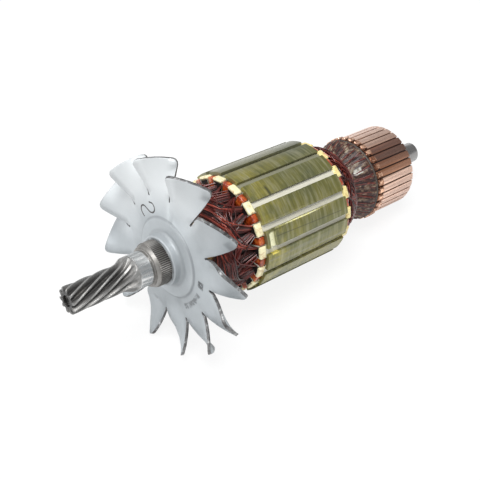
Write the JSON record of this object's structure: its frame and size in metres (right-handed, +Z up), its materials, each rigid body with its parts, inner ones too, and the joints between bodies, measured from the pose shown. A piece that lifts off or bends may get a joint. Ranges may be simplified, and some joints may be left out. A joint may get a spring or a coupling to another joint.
{
  "type": "motor armature",
  "caption": "Wound motor armature: helical pinion shaft, bladed cooling fan, slotted lamination stack with copper winding, and a copper commutator.",
  "frame": {"origin": "on the surface it lies on, under the middle of its bounding box", "axes": "+X along the length towards the commutator end, +Z up; the shaft axis lies in the XZ plane and dips towards the commutator"},
  "size_m": [0.203, 0.0876, 0.0868],
  "materials": {
    "shaft": "ground and hobbed steel",
    "cooling_fan": "matt blasted aluminium",
    "shaft_sleeve": "moulded",
    "lamination_stack": "varnished steel sheet",
    "front_end_insulator": "varnished fibre",
    "rear_end_insulator": "varnished fibre",
    "slot_liners": "insulating fibre",
    "slot_wedges": "insulating strip",
    "front_slot_cuffs": "padded insulating fibre",
    "rear_slot_cuffs": "padded insulating fibre",
    "slot_conductors": "enamelled copper wire",
    "front_end_winding": "enamelled copper wire",
    "rear_end_winding": "enamelled copper wire",
    "commutator_leads": "copper wire under grey resin",
    "lead_binding_cord": "resin-soaked cord",
    "commutator_bars": "turned copper",
    "commutator_body": "moulded phenolic",
    "commutator_bush": "turned",
    "front_band": "glass fibre ring",
    "rear_band": "glass fibre ring"
  },
  "bodies": {
    "root": {"shaft": "shaft", "cooling_fan": "cooling_fan", "shaft_sleeve": "shaft_sleeve", "lamination_stack": "lamination_stack", "front_end_insulator": "front_end_insulator", "rear_end_insulator": "rear_end_insulator", "slot_liners": "slot_liners", "slot_wedges": "slot_wedges", "front_slot_cuffs": "front_slot_cuffs", "rear_slot_cuffs": "rear_slot_cuffs", "slot_conductors": "slot_conductors", "front_end_winding": "front_end_winding", "rear_end_winding": "rear_end_winding", "commutator_leads": "commutator_leads", "lead_binding_cord": "lead_binding_cord", "commutator_bars": "commutator_bars", "commutator_body": "commutator_body", "commutator_bush": "commutator_bush", "front_band": "front_band", "rear_band": "rear_band"}
  },
  "joints": []
}
